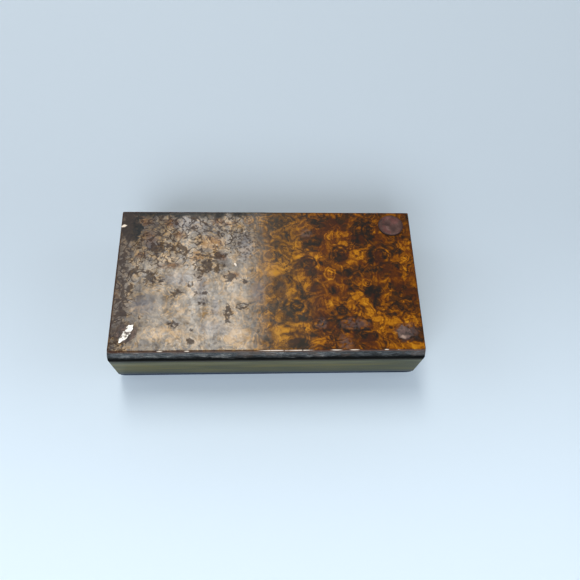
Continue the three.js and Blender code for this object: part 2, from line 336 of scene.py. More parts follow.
def burl_tone(look, figure, near_by, fine):
    """How light the veneer's figure is, about 0.5 on average."""
    tone = look.swing(figure, 0.13, 3.0, 0.5) * 0.38 + 0.49
    for places, lift in ((BRIGHT, 0.12), (DARK, -0.135)):
        for x, y, wide, deep in places:
            spot = look.near(near_by, x, y, wide * 1.15, deep * 1.15, 0.5)
            tone += spot * lift
    # dark lines that follow the patches' outlines, here and there
    curls = look.swing(figure, 0.34, 2.6, 0.5, twist=1.2)
    contour = look.step(look.math("SINE", (tone + curls * 0.35) * 60.0), 0.1, 0.9)
    shown = look.step(look.noise(look.mm, 0.16, 2.0), 0.36, 0.52)
    tone += contour * shown * -0.11
    swirl = look.noise(look.warped(look.mm, 0.15, 5.0, 1.0), 0.12, 1.2, 0.5, twist=0.8)
    swirl = look.math("SINE", swirl * 40.0)
    for pattern, share in ((swirl, 0.07), (curls, 0.55), (fine, 0.3)):
        tone += pattern * share
    return tone + eyes(look)


def veneer(look, tone, figure, near_by):
    """The figure's colours: amber at the right, golden in the middle and, on the left half, paled and greyed as a
    painted reflection of the window's glare.
    """
    colour = look.ramp(
        tone, (0.22, 27, 23, 21), (0.35, 49, 32, 19), (0.46, 82, 45, 12), (0.55, 114, 65, 9),
        (0.64, 150, 91, 8), (0.78, 186, 128, 28),
    )
    # painted reflection: the left half's colours are paled and greyed where the window's glare lies, on top of the
    # glare the lights make
    painted_glare = look.step(look.x, 2.0, -10.0)
    red = look.step(look.noise(figure, 0.2, 3.0), 0.5, 0.6)
    colour = look.paint(colour, (red * (1 - painted_glare), 86, 38, 10, 0.36))
    golden = look.ramp(tone, (0.3, 42, 34, 24), (0.48, 92, 62, 16), (0.68, 166, 118, 26))
    colour = look.mix(look.step(look.x, 22.0, 4.0) * 0.6, colour, golden)
    pale = look.ramp(tone, (0.3, 60, 50, 48), (0.48, 98, 86, 66), (0.66, 142, 118, 80))
    colour = look.mix(painted_glare * 0.66, colour, pale)
    patchy = look.step(look.noise(figure, 0.9, 3.0), 0.36, 0.56)
    grey = look.spots(near_by, GREY, 1.3, 0.3) * patchy
    return look.paint(
        colour, (look.spots(near_by, COOL, 1.3, 0.2), 88, 89, 100, 0.48), (grey, 88, 76, 76, 0.55),
    )


def gloss_marks(look):
    """The worm-like marks that break the gloss: thick at the back left, in clusters further forward."""
    place = look.near(look.mm, -36, 23, 37, 25, 0.55) * 0.68
    place = look.most(place, look.step(look.x, -46.0, -53.0) * 0.72)
    place += look.swing(look.mm, 0.16, 3.0) * 1.1
    clusters = look.spots(look.warped(look.mm, 0.5, 1.4), MARKED, 1.5, 0.3)
    place = look.most(place, clusters * 1.3)
    curl = look.warped(look.warped(look.mm, 0.25, 3.0), 0.8, 1.1)
    worms = look.band(look.noise(curl, 0.34, 1.0, 0.4), 0.5, 0.08)
    loops = look.band(look.noise(curl, 0.2, 1.0), 0.46, 0.045)
    blot = look.step(look.noise(curl, 0.42, 4.0, 0.66), 0.46, 0.72)
    mark = look.step(place * 0.85 + look.most(worms, loops, blot), 1.1, 1.34)
    specks = look.step(look.cells(look.warped(look.mm, 0.8, 0.8), 0.95), 0.46, 0.32)
    specks *= look.near(look.mm, -8.5, 14.5, 7, 11, 0.4)
    return look.most(mark, specks * 0.8)


def stains(look, figure, near_by):
    """The dark stain at the back left, the dirt on the left edge and the glue that a pad left there."""
    patchy = look.swing(figure, 0.45, 4.0, 0.6)
    stained = look.step(look.near(near_by, -52, 21.5, 7.5, 13) + patchy, 0.4, 0.6)
    back = look.step(look.y + look.noise(look.mm, 0.2) * 6.0, 28.6, 30.6)
    stained = look.most(stained, back * look.step(look.x, 4.0, -14.0))
    grimy = look.step(look.x + patchy * 8.0, -49.0, -53.0) * look.step(look.y, -24.0, -17.0)
    glued = look.step(look.near(near_by, -50.4, -21.4, 7.5, 6.5, 0.1) + patchy, 0.3, 0.7)
    return stained, grimy, glued


def edge_wear(look, near_by):
    """The veneer's own edge, a thin dark line, and the pale chips along it with the flecks further in, partly real
    chips and partly a painted highlight.
    """
    ragged = look.noise(look.mm, 0.9, 3.0)
    inset = look.math("MINIMUM", FACE_X - abs(look.x), FACE_Y - abs(look.y))
    rubbed = look.step(inset + ragged * -0.5, 0.1, -0.2)
    chips_and_glints = look.spots(look.mm, [(x, -FACE_Y, half, 0.2) for x, half in CHIPS], 1.0, 0.4)
    chips_and_glints *= look.step(ragged, 0.34, 0.46) * look.step(look.z, FACE_TOP - 0.25, FACE_TOP - 0.12)
    return rubbed, look.most(chips_and_glints, look.spots(near_by, FLECKS, 1.0, 0.5))


def scratches(look):
    """Fine scratches that lean to the right, thickest on the left half."""
    turned = look.node("VectorRotate", Vector=look.mm, Angle=-math.radians(32))
    fine = look.noise(look.vector("MULTIPLY", turned, (0.07, 1.6, 0)), 1.0, 3.0, 0.6)
    lines = look.band(fine, 0.5, 0.03) * look.step(look.noise(look.mm, 0.09, 2.0), 0.44, 0.6)
    thick = look.near(look.mm, -38, -9.5, 12, 6, 0.3) * 0.6
    return lines * (thick + 0.2)


def gloss_weight(look, figure, near_by):
    """How much gloss the lacquer keeps where nothing has dulled it."""
    gloss = 0.61
    for pattern, share in (
        (look.swing(look.stretched(0.5, 0.09), 0.5, 3.0), 1.1),
        (look.swing(figure, 0.3, 4.0, 0.7), 1.8),
        (look.swing(look.mm, 0.11, 3.0), 0.8),
        (look.swing(look.mm, 1.5, 4.0, 0.8), 1.9),
        (scratches(look), -1.0),
    ):
        gloss += pattern * share
    for x, y, wide, deep, lift in GLOSS:
        patch = look.near(near_by, x, y, wide * 1.2, deep * 1.2, 0.2)
        gloss += patch * lift
    faded = look.most(
        look.step(look.x, -24.0, -52.0) * 0.34, look.step(look.y, 0.0, 16.0) * 0.3,
        look.near(near_by, -47, 20, 20, 24, 0.3) * 0.66,
    )
    return gloss * (1 - faded)


def burl():
    """Burl veneer under old amber lacquer, whose gloss is broken by fine worm-like marks."""
    look = Look("burl_lacquer")
    figure = look.warped(look.warped(look.mm, 0.12, 4.0), 0.4, 2.4, 1.4)
    near_by = look.warped(look.warped(look.mm, 0.28, 2.8, 2.0), 0.8, 1.4, 3.0)
    fine = look.swing(figure, 1.5, 4.0, 0.7)
    colour = veneer(look, burl_tone(look, figure, near_by, fine), figure, near_by)
    mark = gloss_marks(look)
    stained, grimy, glued = stains(look, figure, near_by)
    rubbed, chips_and_glints = edge_wear(look, near_by)
    worn = look.step(look.noise(figure, 0.7, 4.0, 0.6), 0.34, 0.56)
    smeared = look.step(look.noise(near_by, 0.5, 4.0, 0.6), 0.3, 0.6)
    dull = 0.0
    # the mark, its colour, its strength and how much gloss it takes away; the chips' pale is partly a painted highlight
    for share, rgb, strength, dullness in (
        (worn * look.spots(near_by, WORN, 1.3, 0.2), (118, 72, 22), 0.5, 0.6),
        (smeared * look.spots(near_by, SMEARED, 1.3, 0.1), (78, 72, 70), 0.5, 0.3),
        (mark, (44, 31, 27), 0.75, 0.74),
        (stained, (28, 34, 38), 0.88, 0.86),
        (grimy, (62, 54, 52), 0.7, 0.0),
        (glued, (62, 50, 46), 0.8, 0.64),
        (rubbed, (62, 36, 22), 0.8, 0.0),
        # chips and flecks: partly real chips, partly a painted highlight along the front edge's arris and on two spots
        (chips_and_glints, (226, 212, 196), 1.0, 0.6),
    ):
        colour = look.paint(colour, (share, *rgb, strength))
        dull = look.most(dull, share * dullness)
    wave = look.noise(look.mm, 0.16, 2.0) * 0.006
    return look.finished(
        colour, mark * -0.03 + wave + fine * 0.008,
        Roughness=0.4 + dull * 0.4, Specular_IOR_Level=0.1,
        Coat_Weight=(1 - dull) * gloss_weight(look, figure, near_by), Coat_Roughness=0.12,
    )


def black_lacquer():
    """Black lacquer over wood, rubbed grey in shallow wavy scallops, with painted seam shade at its foot: near-black,
    matte and without coat.
    """
    look = Look("worn_black_lacquer")
    along = look.warped(look.stretched(0.4, 0.4, 1.0), 0.5, 2.4)
    wave = look.noise(along, 0.65, 5.0, 0.68)
    streak = look.noise(look.warped(look.stretched(0.36, 0.36, 2.2), 0.6, 1.6), 0.7, 5.0, 0.7)
    tone = (wave + streak) * 0.5 + look.step(abs(look.x + 16.0), 30.0, 52.0) * -0.065
    colour = look.ramp(
        tone, (0.38, 8, 9, 9), (0.46, 26, 27, 27), (0.51, 55, 56, 56), (0.56, 88, 88, 87),
        (0.64, 150, 148, 144),
    )
    brown = look.step(look.noise(look.mm, 0.14, 3.0), 0.52, 0.64)
    # painted seam shade: the mouldings' lowest part is painted near-black, matte and without coat, for the shade in the
    # seam over the case
    ragged = look.z + (wave - 0.5) * 3.0
    foot = look.step(ragged, LID_FOOT + SEAM_SHADE_HEIGHT + 2.4, LID_FOOT + SEAM_SHADE_HEIGHT - 0.2)
    colour = look.paint(colour, (brown, 66, 46, 30, 0.5), (foot, 5, 6, 6, 1.0))
    return look.finished(
        colour, wave * 0.12 + streak * 0.07,
        Roughness=look.most(foot, 0.45 + wave * 0.4), Specular_IOR_Level=0.08,
        Coat_Weight=(1 - foot) * look.step(streak, 0.62, 0.42), Coat_Roughness=0.2,
    )


def olive_lacquer():
    """Olive lacquer on the case's walls, smooth, with the grain along each side."""
    look = Look("olive_lacquer")
    bent = look.warped(look.mm, 0.05, 1.2)
    grain = look.noise(look.vector("MULTIPLY", bent, (0.05, 0.05, 1.6)), 1.0, 4.0, 0.6)
    broad = look.noise(look.vector("MULTIPLY", bent, (0.03, 0.03, 0.25)), 1.0, 2.0)
    tone = grain * 0.6 + broad * 0.4
    golden = look.band(look.z, (WALL_FOOT + WALL_TOP) / 2 + 1, 5.0) * look.step(broad, 0.38, 0.56)
    tone += golden * 0.05
    colour = look.ramp(
        tone, (0.34, 37, 40, 22), (0.46, 54, 55, 25), (0.56, 69, 66, 28), (0.68, 93, 84, 31),
    )
    # painted highlight: a paler band just under the walls' top stands in for the light on their upper edge
    worn = look.band(look.z, WALL_TOP - 3.4, 2.4) * look.step(broad, 0.36, 0.56)
    # painted seam shade: the walls' top 2 mm are painted near-black for the shade in the seam under the lid
    painted_seam_shade = look.step(look.z, WALL_TOP - 2.2, WALL_TOP - 0.2)
    # painted shade and painted reflection: the walls' lowest 4 mm darken to a cool blue for the shade under the case
    # and the cloth it mirrors
    painted_shade_and_reflection = look.step(look.z, WALL_FOOT + 4.0, WALL_FOOT)
    pores = look.step(look.noise(look.stretched(0.2, 0.2, 3.0), 1.6, 2.0), 0.64, 0.72)
    colour = look.paint(
        colour, (worn, 104, 104, 80, 0.4), (painted_seam_shade, 12, 13, 12, 0.9), (painted_shade_and_reflection, 30, 42, 50, 0.8),
        (pores, 40, 36, 24, 0.35),
    )
    return look.finished(
        colour, grain * 0.02 + pores * -0.02,
        Roughness=0.35 + grain * 0.2, Specular_IOR_Level=0.1,
        Coat_Weight=(1 - pores * 0.6) * 0.24, Coat_Roughness=0.2,
    )


def wood(name, dark, light, rough, specular):
    """Plain wood with its grain along X."""
    look = Look(name)
    bent = look.warped(look.mm, 0.06, 2.0)
    grain = look.noise(look.vector("MULTIPLY", bent, (0.04, 1.1, 1.0)), 1.0, 5.0, 0.6)
    rings = look.math("SINE", look.noise(look.stretched(0.01, 0.16, 0.16), 1.0, 1.0) * 40.0)
    tone = grain + rings * 0.06
    pores = look.step(look.noise(look.stretched(0.3, 3.0, 3.0), 1.4, 2.0), 0.64, 0.72)
    colour = look.ramp(tone, (0.35, *dark), (0.68, *light))
    half_dark = tuple(c * 0.5 for c in srgb(*dark)[:3]) + (1.0,)
    colour = look.mix(pores * 0.5, colour, half_dark)
    return look.finished(
        colour, grain * 0.03 + pores * -0.04,
        Roughness=rough + grain * 0.2, Specular_IOR_Level=specular,
    )


def felt():
    """Green felt: matted fibres with a few paler hairs and rosin dust."""
    look = Look("green_felt")
    fibre = look.noise(look.warped(look.mm, 1.2, 1.4), 2.6, 5.0, 0.7)
    hair = look.band(look.noise(look.warped(look.mm, 0.7, 2.5), 1.2, 2.0), 0.5, 0.012)
    patch = look.noise(look.mm, 0.12, 3.0)
    colour = look.ramp(fibre, (0.3, 20, 44, 34), (0.5, 38, 78, 58), (0.7, 66, 108, 82))
    dust = look.step(look.cells(look.mm, 0.9), 0.16, 0.06) * look.step(patch, 0.5, 0.6)
    colour = look.paint(
        colour, (look.step(patch, 0.45, 0.65), 84, 104, 74, 0.25), (hair, 140, 156, 128, 0.35),
        (dust, 226, 200, 150, 0.7),
    )
    return look.finished(
        colour, fibre * 0.22 + hair * 0.05,
        Roughness=0.86 + fibre * 0.12, Sheen_Weight=0.4, Sheen_Roughness=0.5,
        Sheen_Tint=srgb(150, 190, 160), Specular_IOR_Level=0.15,
    )


def leather():
    """Pinkish brown leather, scuffed smooth, with painted shade down its cut side."""
    look = Look("scuffed_leather")
    pebble = look.cells(look.warped(look.mm, 0.8, 0.6), 2.4)
    patch = look.noise(look.warped(look.mm, 0.3, 2.0), 0.35, 4.0, 0.6)
    colour = look.ramp(
        patch, (0.32, 50, 32, 30), (0.45, 70, 48, 44), (0.56, 84, 60, 55), (0.68, 106, 80, 75),
    )
    red = look.step(look.noise(look.mm, 0.4, 2.0), 0.52, 0.64)
    # painted shade: the lid's pad is darker in its dent and round its rim
    dent = look.near(look.warped(look.mm, 0.8, 0.8), PAD.x - 1.3, PAD.y + 0.4, 1.6, 1.3, 0.3)
    rim = look.step(look.away(look.mm, PAD.x, PAD.y, 4.9, 4.7), 0.84, 0.96)
    dark = look.most(dent, rim) * look.step(look.z, FACE_TOP - 1, FACE_TOP)
    # painted shade down the sides: faces that stand upright are painted dark
    up = abs(look.node("SeparateXYZ", 2, Vector=look.node("NewGeometry", 1)))
    colour = look.paint(
        colour, (red, 104, 50, 48, 0.4), (look.step(pebble, 0.6, 0.8), 60, 40, 38, 0.5),
        (dark, 46, 30, 30, 0.7), (look.step(up, 0.8, 0.3), 34, 24, 22, 1.0),
    )
    return look.finished(
        colour, pebble * -0.03 + patch * 0.08,
        Roughness=0.5 + patch * 0.4, Specular_IOR_Level=0.3,
    )


def cork():
    """Cork granules, with dark gaps and specks."""
    look = Look("cork_sheet")
    bent = look.warped(look.mm, 0.8, 0.8)
    cell = look.cells(bent, 0.8)
    shade = look.node("SeparateColor", Color=look.cells(bent, 0.8, output=1))
    colour = look.ramp(shade, (0.1, 120, 80, 48), (0.5, 172, 126, 80), (0.9, 204, 162, 112))
    specks = look.step(look.noise(look.mm, 1.6, 3.0), 0.66, 0.7)
    colour = look.paint(
        colour, (look.step(cell, 0.5, 0.75), 86, 54, 32, 0.7), (specks, 58, 36, 24, 1.0),
    )
    return look.finished(colour, cell * -0.12 + specks * -0.1, Roughness=0.75 + shade * 0.15)


def rosin():
    """Amber rosin: clear and glossy at its moulded sides, dusty and scratched where the bow runs."""
    look = Look("amber_rosin")
    flow = look.warped(look.mm, 0.06, 8.0)
    depth = look.noise(flow, 0.05, 3.0)
    track = look.band(look.y + look.noise(look.mm, 0.05) * 3.0, 1.5, 13.0)
    track *= look.step(look.z, RUB_FOOT, RUB_FOOT + 0.8)
    scratch = look.noise(look.stretched(0.06, 2.4, 1.0), 1.0, 5.0, 0.7)
    powder = track * look.step(track * 0.5 + scratch, 0.5, 0.95)
    cloud = look.noise(look.mm, 0.3, 4.0)
    colour = look.ramp(depth + cloud * 0.12, (0.35, 122, 46, 4), (0.55, 168, 76, 5), (0.75, 206, 116, 12))
    colour = look.paint(colour, (powder, 226, 192, 140, 0.8))
    chatter = look.noise(look.mm, 0.5, 3.0) * 0.03
    return look.finished(
        colour, scratch * powder * 0.12 + chatter,
        Roughness=0.1 + powder * 0.55, Transmission_Weight=(1 - powder) * 0.2,
        Subsurface_Weight=0.12, Subsurface_Radius=(1.0, 0.45, 0.08), Subsurface_Scale=0.004, IOR=1.54,
        Specular_IOR_Level=0.25, Coat_Weight=(1 - powder) * 0.45, Coat_Roughness=0.08,
    )


def brass():
    """Dull, stained brass."""
    look = Look("dull_brass")
    stain = look.noise(look.mm, 1.6, 4.0, 0.6)
    colour = look.ramp(stain, (0.35, 92, 66, 30), (0.6, 186, 148, 78))
    return look.finished(
        colour, look.noise(look.stretched(1, 6, 1), 2.0, 3.0) * 0.02,
        Metallic=1.0, Roughness=0.25 + stain * 0.3,
    )


def residue():
    """What is left of a pad that has come off: dark dried glue with paler shreds of leather."""
    look = Look("dried_glue")
    patch = look.noise(look.warped(look.mm, 0.5, 1.8), 0.6, 5.0, 0.65)
    colour = look.ramp(patch, (0.36, 34, 26, 25), (0.48, 60, 46, 42), (0.6, 104, 84, 74))
    shreds = look.near(look.mm, 49.2, -22.4, 3.8, 4, 0.3) * look.step(patch, 0.38, 0.56)
    spot = look.near(look.warped(look.mm, 0.9, 1.2), 48.6, -23.8, 1.5, 1.0, 0.2)
    colour = look.paint(colour, (shreds, 98, 72, 68, 0.6), (spot, 166, 140, 126, 0.8))
    return look.finished(colour, patch * 0.14, Roughness=0.35 + patch * 0.4)


def flake():
    """A shred of bright foil-like paper stuck in the glue."""
    look = Look("white_flake")
    crease = look.noise(look.warped(look.mm, 0.9, 1.2), 0.9, 4.0, 0.6)
    colour = look.ramp(crease, (0.41, 58, 44, 38), (0.46, 190, 182, 172), (0.53, 244, 242, 236))
    return look.finished(colour, crease * 0.12, Roughness=0.2 + crease * 0.2, Coat_Weight=0.6)


# ======== mesh making


def piece(name, shape, material, body, nodes=()):
    """A shape's points, in millimetres, and faces as a mesh that rides on a body for its CAD nodes."""
    points, faces = shape
    mesh = bpy.data.meshes.new(name)
    mesh.from_pydata([p * MM for p in points], [], faces)
    clean = bmesh.new()
    clean.from_mesh(mesh)
    bmesh.ops.remove_doubles(clean, verts=clean.verts, dist=1e-7)
    bmesh.ops.recalc_face_normals(clean, faces=clean.faces)
    clean.to_mesh(mesh)
    clean.free()
    mesh.polygons.foreach_set("use_smooth", [True] * len(mesh.polygons))
    mesh.set_sharp_from_angle(angle=math.radians(40))
    mesh.materials.append(material)
    made = bpy.data.objects.new(name, mesh)
    bpy.context.scene.collection.objects.link(made)
    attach(made, body)
    if nodes:
        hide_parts(*nodes)
    return made


def ripple(x, y, z, per_mm, octaves=3, seed=0):
    """Smooth noise from -1 to 1."""
    return noise.fractal(Vector((x, y, z + 100 * seed)) * per_mm, 1.0, 2.0, octaves)


def add_ring(points, ring):
    """Adds a ring to points and returns its points' numbers."""
    start = len(points)
    points += ring
    return list(range(start, len(points)))


def bridge(loops):
    """Quads between closed rings of point numbers of one length."""
    faces = []
    for ring, after in zip(loops, loops[1:]):
        for i in range(len(ring)):
            j = (i + 1) % len(ring)
            faces.append((ring[i], ring[j], after[j], after[i]))
    return faces


def fan(tip, ring):
    """Triangles from one point to a closed ring."""
    return [(tip, a, b) for a, b in zip(ring, ring[1:] + ring[:1])]


def quarter(radius, top, steps=4):
    """The walls' first rings where a top edge is rounded, as (outset, z)."""
    turns = [math.pi / 2 * i / steps for i in range(1, steps + 1)]
    return [(radius * math.sin(t), top - radius + radius * math.cos(t)) for t in turns]


def slab(centre, half, radius, top, walls, spacing, relief=None):
    """A plate with rounded corners: a fine grid on top, then rings down its walls at (outset, z), and
    a flat underside. half is the top grid's half size. relief gives the top's height over a point."""
    x, y = half
    columns = max(2, round(2 * x / spacing))
    rows = max(2, round(2 * y / spacing))
    points = []
    outward = {}
    for row in range(rows + 1):
        for column in range(columns + 1):
            px = -x + 2 * x * column / columns
            py = -y + 2 * y * row / rows
            over_x = max(abs(px) - (x - radius), 0)
            over_y = max(abs(py) - (y - radius), 0)
            if over_x > 0 and over_y > 0:
                pull = max(over_x, over_y) / math.hypot(over_x, over_y)
                over_x, over_y = over_x * pull, over_y * pull
                px = math.copysign(x - radius + over_x, px)
                py = math.copysign(y - radius + over_y, py)
            if row in (0, rows) or column in (0, columns):
                away = Vector((math.copysign(over_x, px), math.copysign(over_y, py), 0))
                outward[len(points)] = away.normalized()
            lift = relief(px, py) if relief else 0
            points.append(Vector((px, py, top + lift)))

    def number(row, column):
        return row * (columns + 1) + column

    faces = [
        (number(r, c), number(r, c + 1), number(r + 1, c + 1), number(r + 1, c))
        for r in range(rows)
        for c in range(columns)
    ]
    rim = [number(0, c) for c in range(columns)]
    rim += [number(r, columns) for r in range(rows)]
    rim += [number(rows, c) for c in range(columns, 0, -1)]
    rim += [number(r, 0) for r in range(rows, 0, -1)]
    loops = [rim]
    for outset, z in walls:
        ring = []
        for i in rim:
            ring.append(points[i] + outward[i] * outset)
            ring[-1].z = min(z, points[i].z - (top - z) * 0.2)
        loops.append(add_ring(points, ring))
    faces += bridge(loops)
    faces.append(tuple(loops[-1]))
    shift = Vector((centre[0], centre[1], 0))
    return [p + shift for p in points], faces


def mitred_side(side, x, y, radius, profile, spacing, relief=None):
    """One side of a mitred frame with rounded corners. profile is its closed section as (inset, z);
    relief(along, z, index) gives how far a point of the section is pushed inwards."""
    if side in ("right", "left"):
        x, y = y, x
    corner_steps = 3
    straight = max(2, round(2 * x / spacing))
    stations = [(-1, math.pi / 4 * i / corner_steps) for i in range(corner_steps, 0, -1)]
    stations += [(-1 + 2 * i / straight, 0.0) for i in range(straight + 1)]
    stations += [(1, math.pi / 4 * i / corner_steps) for i in range(1, corner_steps + 1)]
    turn = Matrix.Rotation(math.pi / 2 * SIDES.index(side), 3, "Z")
    points, loops = [], []
    for t, angle in stations:
        ring = []
        for index, (inset, z) in enumerate(profile):
            push = relief(t * x, z, index) if relief else 0
            r = max(radius - inset, 0)
            along = t * (x - inset - r - MITRE + (r * math.sin(angle) if angle else 0))
            out = y - inset - r + r * math.cos(angle) - push
            ring.append(turn @ Vector((along, -out, z)))
        loops.append(add_ring(points, ring))
    faces = bridge(loops)
    faces += [tuple(loops[0]), tuple(loops[-1])]
    return points, faces


def section(corners, spacing, fine_edges):
    """A closed section through corners, with the edges numbered in fine_edges cut into short steps."""
    points = []
    for i, a in enumerate(corners):
        b = corners[(i + 1) % len(corners)]
        length = math.dist(a, b)
        steps = max(1, round(length / spacing)) if i in fine_edges else 1
        for s in range(steps):
            points.append((a[0] + (b[0] - a[0]) * s / steps, a[1] + (b[1] - a[1]) * s / steps))
    return points


def round_pad(centre, radius, bottom, top, relief, outline, rings=14, segments=72):
    """A disc: relief(x, y, share) gives its top's height over a point, share being how far out it is,
    and outline(angle) its radius as a share of the full one."""
    cx, cy = centre[:2]
    points = [Vector((cx, cy, top + relief(0, 0, 0)))]
    loops = []
    for k in range(1, rings + 1):
        share = k / rings
        ring = []
        for s in range(segments):
            angle = 2 * math.pi * s / segments
            reach = radius * share * outline(angle)
            dx, dy = reach * math.cos(angle), reach * math.sin(angle)
            ring.append(Vector((cx + dx, cy + dy, top + relief(dx, dy, share))))
        loops.append(add_ring(points, ring))
    rim = [points[i] for i in loops[-1]]
    for drop in (0.35, 0.7, 1.0):
        ring = [Vector((p.x, p.y, p.z + (bottom - p.z) * drop)) for p in rim]
        loops.append(add_ring(points, ring))
    return points, fan(0, loops[0]) + bridge(loops) + [tuple(loops[-1])]


def turned(centre, profile, segments=20):
    """A turned piece from its profile of (radius, z), which starts and ends on the axis."""
    cx, cy = centre[:2]
    points = [Vector((cx, cy, profile[0][1]))]
    loops = []
    for radius, z in profile[1:-1]:
        ring = []
        for s in range(segments):
            angle = 2 * math.pi * s / segments
            ring.append(Vector((cx + radius * math.cos(angle), cy + radius * math.sin(angle), z)))
        loops.append(add_ring(points, ring))
    points.append(Vector((cx, cy, profile[-1][1])))
    return points, fan(0, loops[0]) + bridge(loops) + fan(len(points) - 1, loops[-1])


# ======== the pieces


def make_face(material):
    """The figured face: nearly flat, with small bites out of its front edge."""

    def relief(x, y):
        sag = 0.006 * ripple(x, y, 0, 0.06)
        bite = max([max(0, 1 - ((x - at) / half) ** 2) for at, half in CHIPS])
        ragged = 0.6 + 0.4 * ripple(x, 0, 5, 0.9, seed=1)
        return sag - 0.08 * bite * ragged * max(0, 1 - (y + FACE_Y) / 0.6)

    arris = 0.1
    walls = [(arris * 0.7, FACE_TOP - arris * 0.3), (arris, FACE_TOP - arris), (0.3, FACE_FOOT)]
    shape = slab((0, 0), (FACE_X, FACE_Y), FACE_CORNER, FACE_TOP, walls, 0.55, relief)
    piece("burl_face", shape, material, "lid", ["lid_face"])


def make_edges(material):
    """The lid's bevelled mouldings, with shallow scallops broken out of the lacquer."""
    flare = 1.02  # how far in the bevel's upper end is
    corners = [
        (0.15, LID_FOOT), (0, LID_FOOT + 0.4), (flare, LID_TOP), (LID_EDGE, LID_TOP),
        (LID_EDGE, LID_FOOT),
    ]
    profile = section(corners, 0.35, (1,))
    outer = sum(inset <= flare for inset, z in profile)  # how many points lie on the bevelled side
    for n, side in enumerate(SIDES):

        def relief(along, z, index):
            if index >= outer:
                return 0
            wave = ripple(along * 0.5, 0, z * 1.3, 0.55, seed=n + 2)
            deep = ripple(along * 0.35, 0, z, 0.9, 2, seed=n + 11)
            return 0.05 + 0.1 * max(0, wave + 0.2) + 0.12 * max(0, deep - 0.1)

        shape = mitred_side(side, CASE_X, CASE_Y, CORNER, profile, 0.55, relief)
        piece(f"edge_moulding_{side}", shape, material, "lid", [f"lid_edge_{side}"])


def make_walls(material):
    ease = 0.3
    corners = [
        (0.12, WALL_FOOT), (0, WALL_FOOT + 0.15), (0, WALL_TOP - ease),
        (ease * 0.3, WALL_TOP - ease * 0.3), (ease, WALL_TOP), (WALL, WALL_TOP), (WALL, WALL_FOOT),
    ]
    profile = section(corners, 0.8, (1,))
    for n, side in enumerate(SIDES):

        def relief(along, z, index):
            if profile[index][0] > 0.5:
                return 0
            return 0.012 * (1 + ripple(along * 0.2, 0, z * 1.5, 0.5, seed=n + 20))

        shape = mitred_side(side, CASE_X, CASE_Y, CORNER, profile, 1.2, relief)
        piece(f"olive_wall_{side}", shape, material, "case", [f"case_{side}_wall"])


def make_board(material):
    low, high, centre, half = span("base_board")
    ease = 0.4
    walls = [(0, high.z - 0.8), (0, low.z + ease), (-0.12, low.z + 0.12), (-ease, low.z)]
    shape = slab(centre, half.xy, BOARD_CORNER, high.z, walls, 2.0)
    piece("board", shape, material, "case", ["base_board"])


def make_pins(material):
    for i in range(1, 9):
        node = f"base_pin_{i}"
        low, high, centre, half = span(node)
        head = min(half.x, half.y)
        profile = [
            (0, low.z), (head * 0.5, low.z + 0.02), (head * 0.85, low.z + 0.08), (head, low.z + 0.2),
            (head, low.z + 0.5), (0.5, low.z + 0.5), (0.5, high.z - 0.8), (0.3, high.z - 0.4),
            (0, high.z),
        ]
        shape = turned(centre, profile)
        piece(f"pin_{i}", shape, material, "case", [node])


def make_feet(material):
    """The feet, made upside down, so that their reliefs are measured up from the ground."""
    for n, corner in enumerate(CORNERS):
        node = f"foot_{corner}"
        low, high, centre, half = span(node)

        def relief(dx, dy, share):
            return -0.28 * share**8 - 0.05 * (1 + ripple(dx, dy, 0, 0.5, seed=n + 30)) * min(1, share * 3)

        def outline(angle):
            return 0.975 + 0.02 * ripple(3 * math.cos(angle), 3 * math.sin(angle), 0, 0.5, seed=n)

        points, faces = round_pad((0, 0), half.x, low.z, high.z, relief, outline)
        points = [Vector((centre.x + p.x, centre.y - p.y, high.z + low.z - p.z)) for p in points]
        piece(f"leather_foot_{corner}", (points, faces), material, "case", [node])


def make_pad(material):
    """The one pad left on the lid: dished by wear, with a dent left of its middle."""
    low, high, centre, half = span("corner_pad")

    def relief(dx, dy, share):
        rim = -0.3 * share**10
        dish = -0.2 * max(0, 1 - (share / 0.8) ** 2)
        dent = -0.45 * math.exp(-(((dx + 1.3) / 1.1) ** 2 + ((dy - 0.6) / 0.9) ** 2))
        return rim + dish + dent - 0.06 - 0.1 * max(0, ripple(dx, dy, 0, 0.6, seed=40))

    def outline(angle):
        oval = 0.94 + 0.05 * math.cos(2 * angle)
        return oval + 0.02 * ripple(4 * math.cos(angle), 4 * math.sin(angle), 0, 0.5, seed=41)

    shape = round_pad(centre, half.x, low.z, high.z, relief, outline, 18, 96)
    piece("leather_pad", shape, material, "lid", ["corner_pad"])


def make_residues(glue, white):
    """What two lost pads left on the face, and a bright shred stuck in the front left one."""
    base = FACE_TOP + 0.012
    places = (("front_left", -50.0, -22.0, 3.5, 0.24), ("front_right", 49.0, -22.2, 2.8, 0.14))
    for n, (corner, x, y, radius, thick) in enumerate(places):

        def relief(dx, dy, share):
            rough = 0.5 + 0.5 * ripple(dx, dy, 0, 0.7, seed=n + 50)
            return -thick * (0.25 + 0.6 * rough) * (1 - share**3) - thick * 0.88 * share**3

        def outline(angle):
            return 0.92 + 0.2 * ripple(2 * math.cos(angle), 2 * math.sin(angle), 0, 0.9, 4, seed=n + 60)

        shape = round_pad((x, y), radius, base, base + thick, relief, outline, 14, 96)
        piece(f"residue_{corner}", shape, glue, "lid")

    long, short, lean = 3.9, 1.2, math.radians(60)

    def shred(angle):
        turn = angle - lean
        oval = 1 / math.hypot(math.cos(turn) / long, math.sin(turn) / short)
        return oval * (0.94 + 0.34 * ripple(3 * math.cos(angle), 3 * math.sin(angle), 0, 0.8, 4, seed=65))

    def crumple(dx, dy, share):
        return -0.22 - 0.24 * ripple(dx, dy, 0, 0.9, seed=66) * (1 - share**4)

    low = FACE_TOP + 0.2
    shape = round_pad((-49.8, -21.7), 1.0, low, low + 0.5, crumple, shred, 10, 64)
    piece("white_shred", shape, white, "lid")


def nap(depth, per_mm, seed):
    """A felt's uneven surface, as a function that gives the height over a point."""

    def height(x, y):
        return depth * (ripple(x, y, 0, per_mm, seed=seed) - 1)

    return height


